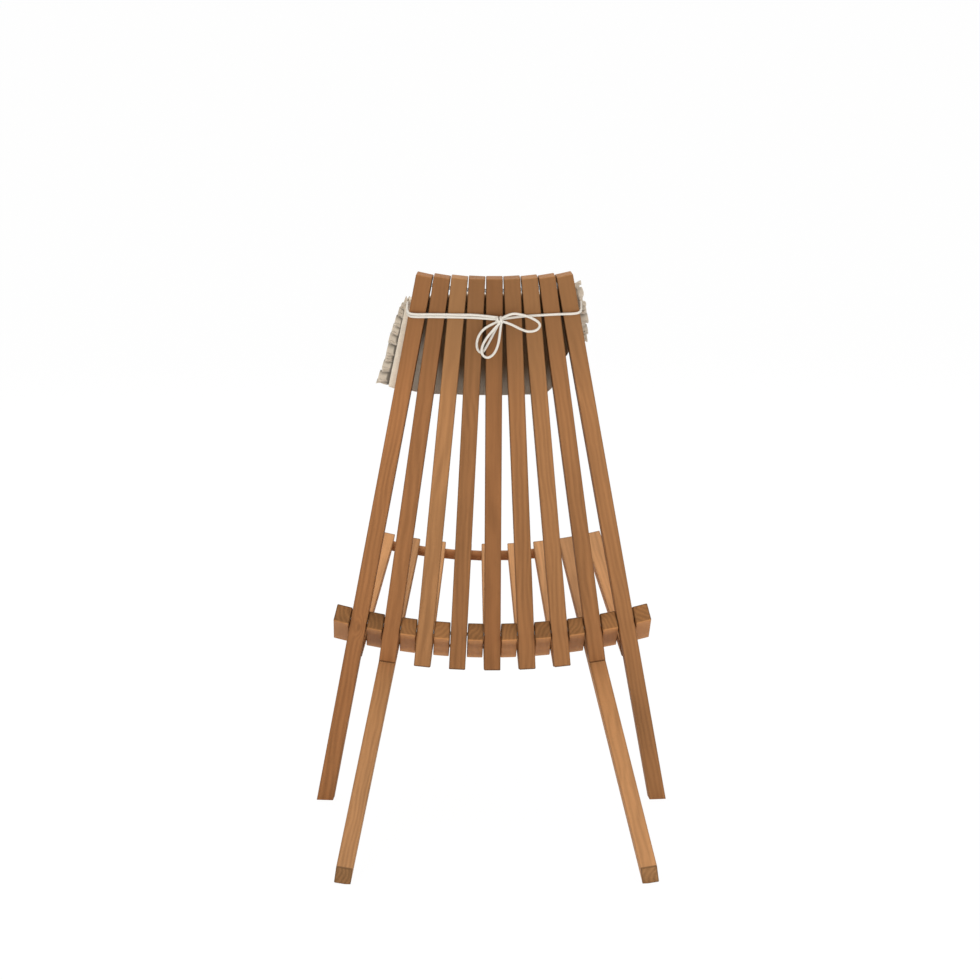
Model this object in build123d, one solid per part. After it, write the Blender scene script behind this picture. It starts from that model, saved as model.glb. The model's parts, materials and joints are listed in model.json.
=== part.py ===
from build123d import *
import math
import os

# Stick section
STICK_WIDTH = 26.0
STICK_DEPTH = 31.0
LINK_WIDTH = 25.0
LINK_DEPTH = 28.0
EDGE_RADIUS = 1.6

# Side view: the back stands square to the seat, and both lean by the same angle
LEAN = 22.5
CROSSING_HEIGHT = 226.0
BACK_LENGTH = 736.0
BACK_RISE = 8.0
BACK_ROD_DROP = 16.0
SEAT_ROD_REACH = 345.0
SEAT_TIP = 12.0
SEAT_STICK_REAR = 33.0
STOP_GAP = 0.2
FOOT_FLAT_DROP = 2.0

# Fan: every lane is the middle lane turned about one line in front of and above the chair
FAN_RADIUS = 1014.0
LANE_ANGLE = 1.59
STICKS = 9
LINKS = 10

# Links between the back and the seat
LINK_PIVOT_UP = 75.0
LINK_PIVOT_FORWARD = 77.0
LINK_TAIL = 20.0
LINK_NOSE = 19.0
FOLDED_OFFSET = 40.0

# Cables, pins and the spacers of the seat's front row
CABLE_DIAMETER = 6.0
CABLE_HEAD_DIAMETER = 11.0
CABLE_HEAD_LENGTH = 3.0
HEAD_CLEARANCE = 0.5
CABLE_BEND = 20.0
PIN_CLEARANCE = 0.05
PIN_END_GAP = 0.3
SPACER_DIAMETER = 16.0
SPACER_TENON_DIAMETER = 8.0
SPACER_TENON = 8.0
SPACER_ENTRY = 1.0
SOCKET_CLEARANCE = 1.5
SOCKET_DEPTH = 6.0

# Pillow with a ruffle at each end, on the front of the back
PILLOW_DROP = 36.0
PILLOW_HEIGHT = 187.0
PILLOW_SHIFT = -5.0
PILLOW_HALF_LENGTH = 143.0
PILLOW_CROWN = 78.0
PILLOW_EDGE = 26.0
PILLOW_GAP = 0.8
PILLOW_LEFT_CHORD = 0.9
PILLOW_RIGHT_CHORD = 0.62
PILLOW_RIGHT_LIFT = 47.0
PILLOW_STATIONS = (-1.0, -0.85, -0.7, -0.52, -0.34, -0.16, 0.02, 0.2, 0.38, 0.54, 0.66, 0.78, 0.89, 1.0)
RUFFLE_DEPTH = 21.0
RUFFLE_THICKNESS = 3.0
RUFFLE_WAVES = 5
RUFFLE_STEPS = 8
RUFFLE_SWING = 7.0

# Tie cord, knotted behind the back
CORD_DIAMETER = 4.0
KNOT_RADIUS = 7.4
KNOT_PLACE = (8.0, 54.0, -25.5)

# Routes of the cord: distance to the right seen from behind, level drop from the top, and forward
LEFT_TIE = [
    (-142, 51.5, 18), (-143, 51, 3), (-141, 51, -16), (-128, 51, -22), (-98, 51.7, -18.6),
    (-62, 52.3, -18.2), (-28, 53.2, -18.5), (-0.5, 54, -22.8),
]
LEFT_TIE_UPPER = [
    (-142, 47, 18), (-143, 46.5, 3), (-141, 46.5, -16), (-128, 46.5, -22), (-97, 47.1, -18.6),
    (-60, 47.6, -18.2), (-24, 48, -18.5), (1.3, 48.5, -23.7),
]
RIGHT_TIE = [
    (16.5, 53.1, -22.8), (40, 52.3, -18.5), (70, 51, -18.2), (100, 49.5, -18.6), (128, 48, -22),
    (141, 48, -16), (143, 48.5, 3), (142, 49.5, 18),
]
RIGHT_LOOP = [
    (14.7, 48.5, -27.3), (24.5, 40.5, -28), (42, 42, -29), (60, 49.5, -29), (72.5, 60, -29),
    (68, 71.5, -29), (53, 74.5, -30), (38, 66.5, -31), (25, 58, -31), (15.6, 55.8, -29.8),
]
LEFT_LOOP = [
    (2.2, 59.7, -27.5), (-10, 64, -27), (-22.5, 77, -26.5), (-28, 95, -26), (-26.5, 110, -26),
    (-19, 116, -26), (-11, 101, -26), (-2.3, 81, -26.5), (6.6, 62, -27.2),
]
LONG_LOOP = [
    (8.3, 60, -33.2), (-3.6, 70, -33), (-16, 89, -32.5), (-21, 107, -32), (-17, 118, -32),
    (-8.5, 120.5, -32), (0.6, 112, -32), (6.3, 95, -32), (8.5, 77, -32), (12.2, 61, -28.6),
]

SLANT = math.radians(LEAN)
HALF_WIDTH = STICK_WIDTH / 2
HALF_DEPTH = STICK_DEPTH / 2
LINK_HALF_WIDTH = LINK_WIDTH / 2
PIN_RADIUS = CABLE_DIAMETER / 2
LINK_SPAN = math.hypot(LINK_PIVOT_UP, LINK_PIVOT_FORWARD)
LINK_ANGLE = math.degrees(math.atan2(LINK_PIVOT_UP, -LINK_PIVOT_FORWARD))
MIDDLE_STICK = (STICKS + 1) / 2
MIDDLE_LINK = (LINKS + 1) / 2
SOCKET_DIAMETER = SPACER_DIAMETER + 2 * SOCKET_CLEARANCE
BACK_ROD_UP = BACK_LENGTH - BACK_ROD_DROP
PILLOW_HIGH = BACK_LENGTH - PILLOW_DROP
PILLOW_LOW = PILLOW_HIGH - PILLOW_HEIGHT
LONG_BACK = (1, STICKS)
LONG_SEAT = (2, STICKS - 1)

# Lane frame: x runs forward along the seat, y up along the back, z to the right seen from behind
CROSSING = Vector(0, 0, CROSSING_HEIGHT)
FORWARD = Vector(0, -math.cos(SLANT), math.sin(SLANT))
LANE_FRAME = Plane(origin=CROSSING, x_dir=FORWARD, z_dir=Vector(-1, 0, 0))
FAN_POINT = FAN_RADIUS / math.sqrt(2)
FAN_AXIS = Axis((FAN_POINT, FAN_POINT, 0), (-1, 1, 0))


def stick_lane(number):
    """Fan angle of a back or seat stick, counted from the left seen from behind."""
    return (number - MIDDLE_STICK) * 2 * LANE_ANGLE


def link_lane(number):
    """Fan angle of a link, which lies half a lane beside the sticks."""
    return (number - MIDDLE_LINK) * 2 * LANE_ANGLE


def in_lane(shape, angle):
    """Turn a shape drawn in the middle lane to its own lane and stand it in the chair."""
    return LANE_FRAME.location * shape.rotate(FAN_AXIS, angle)


def lane_point(forward, up, side, angle):
    """The place in the chair of a point given in a lane's own frame."""
    mark = Vertex(forward, up, side)
    return in_lane(mark, angle).center()


def lane_normal(angle):
    """Direction square to a lane, which is its hinge direction."""
    return (lane_point(0, 0, 1, angle) - lane_point(0, 0, 0, angle)).normalized()


def slab(outline, width):
    """A stick of the given side outline, centred in its lane, with eased edges."""
    face = make_face(Polyline(*outline, close=True))
    body = Pos(0, 0, -width / 2) * extrude(face, width, dir=(0, 0, 1))
    return fillet(body.edges(), EDGE_RADIUS)


def bore(forward, up, radius):
    """A hole through a stick, square to its lane."""
    return Pos(forward, up, 0) * Cylinder(radius, STICK_WIDTH * 2)


def below_floor():
    """Everything under the floor, for cutting feet level."""
    size = FAN_RADIUS * 3
    return Pos(0, 0, -size / 2) * Box(size, size, size)


def outer_side(number, count):
    """-1 for a piece left of the middle seen from behind, +1 for one to its right."""
    return -1 if number * 2 <= count else 1


def along_lane(forward, up, start, end, radius):
    """A round bar square to the lane, between two distances from the lane's middle."""
    return Pos(forward, up, (start + end) / 2) * Cylinder(radius, end - start)


def head_recess(forward, up, side, half_width):
    """The counterbore that hides a cable's swaged head in an outer face."""
    depth = CABLE_HEAD_LENGTH + HEAD_CLEARANCE
    radius = CABLE_HEAD_DIAMETER / 2 + HEAD_CLEARANCE
    ends = sorted((side * (half_width - depth), side * (half_width + depth)))
    return along_lane(forward, up, ends[0], ends[1], radius)


def tube(points, bend, diameter):
    """A round bar along straight runs, with the given bend radius, or one for each corner."""
    path = FilletPolyline(*points, radius=bend)
    section = Plane(origin=path @ 0, z_dir=path % 0) * Circle(diameter / 2)
    return sweep(section, path=path)


def cable(up, lanes, half_width):
    """A cable through a row of lanes, straight inside each one, with a head at both ends."""
    radius = FAN_RADIUS - up / math.sqrt(2)
    half_run = radius * math.tan(math.radians(LANE_ANGLE))
    seat = half_width - CABLE_HEAD_LENGTH - HEAD_CLEARANCE
    points = [lane_point(0, up, -seat, lanes[0])]
    points += [lane_point(0, up, half_run, angle) for angle in lanes[:-1]]
    points.append(lane_point(0, up, seat, lanes[-1]))
    head = CABLE_HEAD_DIAMETER / 2
    tip = seat + CABLE_HEAD_LENGTH
    left = in_lane(along_lane(0, up, -tip, -seat, head), lanes[0])
    right = in_lane(along_lane(0, up, seat, tip, head), lanes[-1])
    return tube(points, CABLE_BEND, CABLE_DIAMETER).fuse(left, right)


def pivot_cable():
    """The cable that the links turn on, held by the back sticks."""
    lanes = [link_lane(number) for number in range(1, LINKS + 1)]
    return cable(LINK_PIVOT_UP, lanes, LINK_HALF_WIDTH)


def back_top_cable():
    """The cable that strings the back sticks together near their tops."""
    lanes = [stick_lane(number) for number in range(1, STICKS + 1)]
    return cable(BACK_ROD_UP, lanes, HALF_WIDTH)


def back_length(number):
    """Length of a back stick above the crossing, a little more towards the middle."""
    place = (number - MIDDLE_STICK) / (STICKS - MIDDLE_STICK)
    return BACK_LENGTH + BACK_RISE * (1 - place ** 2)


def back_stick(number):
    """One back stick; the outer two run on down to the floor as the front legs."""
    level_rise = HALF_DEPTH * math.tan(SLANT)
    low = HALF_DEPTH + STOP_GAP
    if number in LONG_BACK:
        low = -CROSSING_HEIGHT * 2
    outline = [
        (-HALF_DEPTH, low),
        (HALF_DEPTH, low),
        (HALF_DEPTH, back_length(number) - level_rise),
        (-HALF_DEPTH, back_length(number) + level_rise),
    ]
    body = slab(outline, STICK_WIDTH)
    body -= bore(0, BACK_ROD_UP, PIN_RADIUS)
    if number in LONG_BACK:
        body -= head_recess(0, BACK_ROD_UP, outer_side(number, STICKS), HALF_WIDTH)
    return in_lane(body, stick_lane(number)) - pivot_cable() - below_floor()


def rear_leg_reach():
    """How far behind the crossing a rear leg ends, so that its lower edge meets the floor."""
    angle = stick_lane(LONG_SEAT[0])
    drop = FOOT_FLAT_DROP
    sides = (-HALF_WIDTH, HALF_WIDTH)
    start = min(lane_point(0, -HALF_DEPTH, side, angle).Z for side in sides)
    fall = lane_point(0, 0, 0, angle).Z - lane_point(-1, 0, 0, angle).Z
    return (start + drop) / fall


def seat_stick(number):
    """One seat stick; the second from each side runs on back to the floor as a rear leg."""
    rear = SEAT_STICK_REAR
    if number in LONG_SEAT:
        rear = -rear_leg_reach()
    front = SEAT_ROD_REACH + SEAT_TIP
    outline = [
        (rear, -HALF_DEPTH),
        (front, -HALF_DEPTH),
        (front, HALF_DEPTH),
        (rear, HALF_DEPTH),
    ]
    body = slab(outline, STICK_WIDTH)
    body -= bore(LINK_PIVOT_FORWARD, 0, PIN_RADIUS + PIN_CLEARANCE)
    if number < STICKS:
        body -= spacer_at(HALF_WIDTH - SPACER_TENON, HALF_WIDTH, SPACER_TENON_DIAMETER)
    if number > 1:
        body -= spacer_at(-HALF_WIDTH, SOCKET_DEPTH - HALF_WIDTH, SOCKET_DIAMETER)
    return in_lane(body, stick_lane(number)) - below_floor()


def spacer_at(start, end, diameter):
    """A round piece on the line of the seat's front row, square to its lane."""
    return along_lane(SEAT_ROD_REACH, 0, start, end, diameter / 2)


def front_spacer(number):
    """The dowel between a seat stick and the next one: fixed in the first, loose in the second."""
    angle = stick_lane(number)
    here = lane_point(SEAT_ROD_REACH, 0, HALF_WIDTH, angle)
    there = lane_point(SEAT_ROD_REACH, 0, -HALF_WIDTH, stick_lane(number + 1))
    room = (there - here).dot(lane_normal(angle))
    end = HALF_WIDTH + room + SPACER_ENTRY
    dowel = spacer_at(HALF_WIDTH, end, SPACER_DIAMETER)
    tenon = spacer_at(HALF_WIDTH - SPACER_TENON, HALF_WIDTH, SPACER_TENON_DIAMETER)
    return in_lane(dowel + tenon, angle)


def carrier(number):
    """The link that carries a seat stick: the one on its outer side."""
    return number if number <= MIDDLE_STICK else number + 1


def seat_pin(number):
    """The pin that a seat stick turns on, fixed in the link that carries it."""
    radius = FAN_RADIUS - LINK_PIVOT_FORWARD / math.sqrt(2)
    half_pitch = radius * math.sin(math.radians(LANE_ANGLE))
    outside = half_pitch + LINK_HALF_WIDTH - EDGE_RADIUS
    inside = HALF_WIDTH - PIN_END_GAP
    ends = (-outside, inside) if carrier(number) == number else (-inside, outside)
    pin = along_lane(LINK_PIVOT_FORWARD, 0, ends[0], ends[1], PIN_RADIUS)
    return in_lane(pin, stick_lane(number))


def link(number):
    """One short link from the back's pivot row to the seat's."""
    turn = math.radians(LINK_ANGLE)
    along = Vector(math.cos(turn), math.sin(turn))
    across = Vector(-along.Y, along.X) * (LINK_DEPTH / 2)
    nose = Vector(LINK_PIVOT_FORWARD, 0) - along * LINK_NOSE
    tail = Vector(0, LINK_PIVOT_UP) + along * LINK_TAIL
    corners = [nose - across, nose + across, tail + across, tail - across]
    body = slab([(corner.X, corner.Y) for corner in corners], LINK_WIDTH)
    body -= bore(0, LINK_PIVOT_UP, PIN_RADIUS + PIN_CLEARANCE)
    if number in (1, LINKS):
        body -= head_recess(0, LINK_PIVOT_UP, outer_side(number, LINKS), LINK_HALF_WIDTH)
    body = in_lane(body, link_lane(number))
    for stick in range(1, STICKS + 1):
        if carrier(stick) == number:
            body -= seat_pin(stick)
    return body


def level_fall(up, forward, angle):
    """How far down a lane a point moves to lie level with the same point of the middle lane."""
    radius = FAN_RADIUS - (forward + up) / math.sqrt(2)
    return radius * (1 - math.cos(math.radians(angle)))


def pillow_middle(angle):
    """Height along a lane of the pillow's middle, which lies level across the lanes."""
    middle = (PILLOW_LOW + PILLOW_HIGH) / 2
    return middle - level_fall(middle, 0, angle)


def pillow_section(angle, middle, chord, crown):
    """One cross-section of the pillow: flat against the back, arched to the front."""
    rest = HALF_DEPTH + PILLOW_GAP
    low = middle - chord / 2
    high = middle + chord / 2
    side = PILLOW_EDGE / 2
    outline = Line((rest, low), (rest, high))
    outline += Line((rest, high), (rest + side, high))
    outline += ThreePointArc((rest + side, high), (rest + crown, middle), (rest + side, low))
    outline += Line((rest + side, low), (rest, low))
    return in_lane(make_face(outline), angle)


def pillow_lane(place):
    """Fan angle along the pillow, from -1 at its left end to 1 at its right end."""
    radius = FAN_RADIUS - (PILLOW_LOW + PILLOW_HIGH) / 2 / math.sqrt(2)
    return math.degrees((PILLOW_SHIFT + place * PILLOW_HALF_LENGTH) / radius)


def pillow_span(place):
    """Middle and height of the pillow at a place along it; its right end is drawn up by the tie."""
    full = PILLOW_HIGH - PILLOW_LOW
    middle = pillow_middle(pillow_lane(place))
    if place < 0:
        return middle, full * (1 - (1 - PILLOW_LEFT_CHORD) * abs(place) ** 3)
    ramp = min(1.0, max(0.0, (place - 0.55) / 0.35))
    drawn = ramp * ramp * (3 - 2 * ramp)
    return middle + PILLOW_RIGHT_LIFT * drawn, full * (1 - (1 - PILLOW_RIGHT_CHORD) * drawn)


def pillow():
    """The pillow, fullest in its middle and drawn in at both ends."""
    sections = []
    for place in PILLOW_STATIONS:
        middle, chord = pillow_span(place)
        crown = PILLOW_CROWN - (PILLOW_CROWN - PILLOW_EDGE) * abs(place) ** 3
        sections.append(pillow_section(pillow_lane(place), middle, chord, crown))
    return loft(sections)


def ruffle(side):
    """The gathered frill at one end of the pillow, standing in waves."""
    rest = HALF_DEPTH + PILLOW_GAP + PILLOW_EDGE / 2
    middle, full = pillow_span(side)
    low = middle - full / 2
    count = RUFFLE_WAVES * RUFFLE_STEPS
    wave = []
    for step in range(count + 1):
        swing = RUFFLE_SWING * math.sin(2 * math.pi * step / RUFFLE_STEPS)
        wave.append((rest + swing, low + full * step / count))
    front = [(forward + RUFFLE_THICKNESS / 2, up) for forward, up in wave]
    rear = [(forward - RUFFLE_THICKNESS / 2, up) for forward, up in reversed(wave)]
    face = make_face(Polyline(*front, *rear, close=True))
    band = extrude(face, RUFFLE_DEPTH, dir=(0, 0, side))
    return in_lane(band, pillow_lane(side))


def route_point(place):
    """The place in the chair of one point of a cord's route."""
    across, drop, forward = place
    up = BACK_LENGTH - drop
    radius = FAN_RADIUS - (forward + up) / math.sqrt(2)
    angle = math.degrees(across / radius)
    return lane_point(forward, up - level_fall(up, forward, angle), 0, angle)


def cord(route):
    """A length of cord along a route, its bends as large as their runs allow."""
    points = [route_point(place) for place in route]
    radii = []
    for before, here, after in zip(points, points[1:], points[2:]):
        turn = math.radians((here - before).get_angle(after - here))
        run = min((here - before).length, (after - here).length)
        radii.append(0.45 * run / math.tan(turn / 2))
    return tube(points, radii, CORD_DIAMETER)


def knot():
    """The knot that the ties and the loops come out of."""
    place = route_point(KNOT_PLACE)
    return Pos(place.X, place.Y, place.Z) * Sphere(KNOT_RADIUS)


def chair():
    """Every piece by its node name."""
    nodes = {}
    for number in range(1, STICKS + 1):
        nodes["back_stick_%d" % number] = back_stick(number)
        nodes["seat_stick_%d" % number] = seat_stick(number)
        nodes["seat_pin_%d" % number] = seat_pin(number)
    for number in range(1, LINKS + 1):
        nodes["link_%d" % number] = link(number)
    for number in range(1, STICKS):
        nodes["front_spacer_%d" % number] = front_spacer(number)
    nodes["pivot_cable"] = pivot_cable()
    nodes["back_top_cable"] = back_top_cable()
    nodes["pillow"] = pillow()
    nodes["ruffle_left"] = ruffle(-1)
    nodes["ruffle_right"] = ruffle(1)
    nodes["tie_left_lower"] = cord(LEFT_TIE)
    nodes["tie_left_upper"] = cord(LEFT_TIE_UPPER)
    nodes["tie_right"] = cord(RIGHT_TIE)
    nodes["bow_right_loop"] = cord(RIGHT_LOOP)
    nodes["bow_left_loop"] = cord(LEFT_LOOP)
    nodes["bow_long_loop"] = cord(LONG_LOOP)
    nodes["bow_knot"] = knot()
    return nodes


def front_foot():
    """The middle of a front leg's level foot."""
    angle = stick_lane(LONG_BACK[0])
    start = lane_point(0, 0, 0, angle)
    step = lane_point(0, 1, 0, angle) - start
    return start - step * (start.Z / step.Z)


def print_joint(name, place, axis):
    """Report where a hinge is and which way it points."""
    print("joint %s pos %.4f %.4f %.4f axis %.6f %.6f %.6f" % (name, *place, *axis))


def main():
    nodes = chair()
    depths = [shape.bounding_box() for shape in nodes.values()]
    middle = (min(box.min.Y for box in depths) + max(box.max.Y for box in depths)) / 2
    shift = Pos(0, -middle, 0)
    os.makedirs("parts", exist_ok=True)
    for name, shape in nodes.items():
        export_step(shift * shape, "parts/%s.step" % name)
    offset = Vector(0, -middle, 0)
    for number in range(1, LINKS + 1):
        place = lane_point(0, LINK_PIVOT_UP, 0, link_lane(number)) + offset
        print_joint("link_%d" % number, place, lane_normal(link_lane(number)))
    for number in range(1, STICKS + 1):
        place = lane_point(LINK_PIVOT_FORWARD, 0, 0, stick_lane(number)) + offset
        print_joint("seat_stick_%d" % number, place, lane_normal(stick_lane(number)))
    print("foot %.4f %.4f %.4f" % tuple(front_foot() + offset))
    swing = math.degrees(math.atan2(LINK_PIVOT_FORWARD, LINK_PIVOT_UP))
    swing -= math.degrees(math.asin(FOLDED_OFFSET / LINK_SPAN))
    print("fold: links turn %.4f degrees, seat turns 90, depth shift %.4f" % (swing, middle))


main()
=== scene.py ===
import json
import math
import random

import bmesh
import bpy
from mathutils import Matrix, Vector, noise


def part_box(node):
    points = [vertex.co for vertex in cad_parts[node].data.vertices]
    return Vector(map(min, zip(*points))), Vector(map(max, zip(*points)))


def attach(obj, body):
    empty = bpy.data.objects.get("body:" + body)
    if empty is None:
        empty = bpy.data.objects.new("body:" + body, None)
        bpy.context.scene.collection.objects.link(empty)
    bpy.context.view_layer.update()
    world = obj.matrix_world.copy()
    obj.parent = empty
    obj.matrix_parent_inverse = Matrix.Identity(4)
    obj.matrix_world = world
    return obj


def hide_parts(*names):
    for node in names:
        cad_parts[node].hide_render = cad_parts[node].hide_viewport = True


bl_info = {
    "name": "Folding Stick Chair",
    "version": (1, 0, 0),
    "blender": (4, 5, 0),
    "location": "View3D > Sidebar > Stick Chair",
    "description": "Dresses a folding lounge chair of fanned sticks: wood, cables, head pillow and tie cord",
    "category": "Object",
}

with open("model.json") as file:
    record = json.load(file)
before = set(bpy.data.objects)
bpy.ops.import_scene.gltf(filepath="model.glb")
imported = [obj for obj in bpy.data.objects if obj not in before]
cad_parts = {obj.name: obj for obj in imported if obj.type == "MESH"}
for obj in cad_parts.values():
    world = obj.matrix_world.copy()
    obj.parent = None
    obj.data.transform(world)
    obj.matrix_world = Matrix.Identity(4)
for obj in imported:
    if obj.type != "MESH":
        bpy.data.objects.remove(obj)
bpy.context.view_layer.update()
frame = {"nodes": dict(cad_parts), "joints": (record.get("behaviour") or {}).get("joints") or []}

# Side view of the chair: the seat runs forward and the back runs up, square to each other
LEAN = math.radians(22.5)
FORWARD = Vector((0, -math.cos(LEAN), math.sin(LEAN)))
UP = Vector((0, math.sin(LEAN), math.cos(LEAN)))
SIDE = Vector((-1, 0, 0))
SEAT_PIN_FORWARD = 0.077
LINK_PIVOT_UP = 0.075
BACK_LENGTH = 0.736
STICK_WIDTH = 0.026
STICK_DEPTH = 0.031
LINK_WIDTH = 0.025
LINK_DEPTH = 0.028

# Fan of lanes about one line in front of and above the chair
FAN_RADIUS = 1.014
LANE_STEP = math.radians(3.18)
STICKS = 9
LINKS = 10

# Pillow on the front of the back
PILLOW_DROP = 0.036
PILLOW_HEIGHT = 0.187
PILLOW_SHIFT = -0.005
PILLOW_HALF_LENGTH = 0.143
PILLOW_EDGE = 0.026
PILLOW_GAP = 0.0008
PILLOW_REST = STICK_DEPTH / 2 + PILLOW_GAP
PILLOW_SKIN = 0.0004
PILLOW_LEFT_SHARE = 0.9
PILLOW_RIGHT_SHARE = 0.62
PILLOW_RIGHT_LIFT = 0.047
LEFT_SEAM_REACH = 0.0055

# How the pillow starts slim, is blown up while held, and is pleated and creased at its ends
SLIM_START = 0.0006
SLIM_SHARE = 0.88
HELD_DEPTH = 0.006
HELD_SHARE = 0.97
PUFF_STEPS = 20
PUFF_LIMIT = 0.011
VOXEL = 0.005
PLEAT_PITCH = 0.0165
PLEAT_HEIGHT = 0.0019
CREASE_HEIGHT = 0.0034

# Ruffles sewn to the pillow's ends, drawn back by the tie
LEFT_RUFFLE_LESS = 0.0065
SEAM_TUCK = 0.003
RUFFLE_HEM = 0.004
RUFFLE_CLOTH = 0.0014
TIE_PULL = 0.013
TIE_UP = BACK_LENGTH - 0.049

# Routes of the tie cord in millimetres: to the right seen from behind, level drop from the top, forward
LEFT_TIE = [
    (-133.6, 54, 15), (-134.6, 53.5, 3), (-134.4, 53.5, -16), (-127, 53.5, -21.5), (-98, 53.8, -18.6),
    (-62, 54, -18.2), (-28, 54.2, -18.5), (3.2, 54, -24),
]
LEFT_TIE_UPPER = [
    (-133.6, 49.4, 15), (-134.6, 48.9, 3), (-134.4, 48.9, -16), (-127, 48.9, -21.5), (-97, 49.2, -18.6),
    (-60, 49.4, -18.2), (-24, 49.2, -18.5), (4.6, 50.3, -24.6),
]
RIGHT_TIE = [
    (12.8, 53.3, -24), (40, 52.3, -18.5), (70, 51, -18.2), (100, 49.5, -18.6), (127, 48, -21.5),
    (134.4, 48, -16), (134.6, 48.5, 3), (134.2, 49.3, 15.5),
]
RIGHT_LOOP = [
    (11.4, 50.9, -26.6), (24.5, 40.5, -28), (42, 42, -29), (60, 49.5, -29), (72.5, 60, -29),
    (68, 71.5, -29), (53, 74.5, -30), (38, 66.5, -31), (25, 58, -31), (12, 54.9, -28.4),
]
LEFT_LOOP = [
    (4.8, 57, -26.8), (-10, 64, -27), (-22.5, 77, -26.5), (-28, 95, -26), (-26.5, 110, -26),
    (-19, 116, -26), (-11, 101, -26), (-2.3, 81, -26.5), (7.5, 58.2, -26.6),
]
LONG_LOOP = [
    (8.6, 56.4, -30.4), (-3.6, 70, -33), (-16, 89, -32.5), (-21, 107, -32), (-17, 118, -32),
    (-8.5, 120.5, -32), (0.6, 112, -32), (6.3, 95, -32), (8.5, 77, -32), (10.6, 57.4, -27.6),
]
KNOT_PLACE = (8.0, 54.0, -25.5)

# Wraps of the knot: tilt in degrees, then shift and radius in millimetres
KNOT_WRAPS = ((18, -2.9, 5.2), (24, 2.3, 5.0), (96, 0.0, 5.4))

# Each cord's CAD node, route and length in metres
CORDS = (
    ("tie_left_lower", LEFT_TIE, 0.1726),
    ("tie_left_upper", LEFT_TIE_UPPER, 0.1742),
    ("tie_right", RIGHT_TIE, 0.1574),
    ("bow_right_loop", RIGHT_LOOP, 0.1399),
    ("bow_left_loop", LEFT_LOOP, 0.1374),
    ("bow_long_loop", LONG_LOOP, 0.1463),
)

# Linen in the shade between the sticks
SHADED_LINEN = (0.175, 0.082, 0.024)

# Brightness and yellowness of each stick beside its neighbours, from the left seen from behind
BACK_TONES = (1.06, 0.98, 1.12, 0.9, 0.87, 0.97, 1.06, 0.98, 1.04)
BACK_YELLOW = (0.2, 0.3, 1.2, 0.6, 0.2, 0.6, 0.9, 0.6, 0.8)
SEAT_TONES = (1.22, 0.9, 1.25, 1.2, 1.15, 1.22, 1.2, 1.0, 1.26)
LINK_TONES = (0.88, 0.86, 1.06, 1.08, 1.04, 1.1, 1.02, 0.96, 1.06, 1.0)
YELLOW_GAIN = (0.02, 0.14, 0.24)

# Knots of the back sticks, by number: up the stick and across it
BACK_KNOTS = {1: [(0.072, 0.002)]}

# The camera's aim from the crossing, and the studio's floor and light
AIM_RISE = 0.194
AIM_LEFT = 0.00336
AIM_TOP = 0.1021
FLOOR_HALF_SIZE = 60
FLOOR_GLOW = 1.015
FLOOR_SHOWN = 0.955
SKY_COLOUR = (1.0, 0.985, 0.965, 1)
SKY_LIGHT = 0.55
LAMP_AIM = Vector((0, 0, 0.45))

# Each lamp's name, place, size and power
LAMPS = (
    ("key", (1.6, 3.2, 2.6), 2.2, 44),
    ("fill", (-2.4, 2.6, 1.3), 2.4, 30),
    ("low", (0.2, 3.0, 0.75), 1.4, 16),
    ("front", (0.4, -3.2, 2.2), 2.6, 48),
    ("top", (0.0, 0.4, 3.4), 2.4, 30),
)


def joint_place(name):
    """Where the frame puts a hinge."""
    for joint in frame["joints"]:
        if joint["name"] == name:
            return Vector(joint["pos_m"])
    raise ValueError("the frame has no joint named " + name)


CROSSING = joint_place("seat_fold_5") - FORWARD * SEAT_PIN_FORWARD
FAN_POINT = CROSSING + (FORWARD + UP) * (FAN_RADIUS / math.sqrt(2))
FAN_LINE = (UP - FORWARD).normalized()
FAN_SPOKE = -(FORWARD + UP).normalized()


def lane_turn(angle):
    """Matrix that turns the middle lane to another one about the fan's line."""
    turn = Matrix.Rotation(angle, 4, FAN_LINE)
    return Matrix.Translation(FAN_POINT) @ turn @ Matrix.Translation(-FAN_POINT)


def lane_place(angle, up, forward):
    """Point of a lane, given up its back and forward along its seat."""
    return lane_turn(angle) @ (CROSSING + UP * up + FORWARD * forward)


def lane_values(point):
    """The angle, up and forward of a point of the chair."""
    arm = point - FAN_POINT
    across = arm.dot(SIDE)
    out = arm.dot(FAN_SPOKE)
    flat = FAN_POINT + FAN_LINE * arm.dot(FAN_LINE) + FAN_SPOKE * math.hypot(across, out)
    return math.atan2(across, out), (flat - CROSSING).dot(UP), (flat - CROSSING).dot(FORWARD)


def reach(up, forward):
    """Distance from the fan's line of a point of a lane."""
    return FAN_RADIUS - (up + forward) / math.sqrt(2)


def level_fall(up, forward, angle):
    """How far down a lane a point moves to lie level with the same point of the middle lane."""
    return reach(up, forward) * (1 - math.cos(angle))


def route_point(place):
    """Point of the chair for one point of a cord's route."""
    across, drop, forward = (value / 1000 for value in place)
    up = BACK_LENGTH - drop
    angle = across / reach(up, forward)
    return lane_place(angle, up - level_fall(up, forward, angle), forward)


def pillow_middle(angle):
    """Height along a lane of the pillow's middle, which lies level across the lanes."""
    middle = BACK_LENGTH - PILLOW_DROP - PILLOW_HEIGHT / 2
    return middle - level_fall(middle, 0, angle)


def pillow_lane(place):
    """Fan angle along the pillow, from -1 at its left end to 1 at its right end."""
    return (PILLOW_SHIFT + place * PILLOW_HALF_LENGTH) / reach(pillow_middle(0), 0)


def pillow_share(angle):
    """Place along the pillow of a lane, from -1 at its left end to 1 at its right end."""
    return (angle * reach(pillow_middle(0), 0) - PILLOW_SHIFT) / PILLOW_HALF_LENGTH


def ease(value):
    """Smooth step from 0 to 1."""
    value = min(1.0, max(0.0, value))
    return value * value * (3 - 2 * value)


def stick_angle(number):
    """Fan angle of a back or seat stick."""
    return (number - (STICKS + 1) / 2) * LANE_STEP


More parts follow.
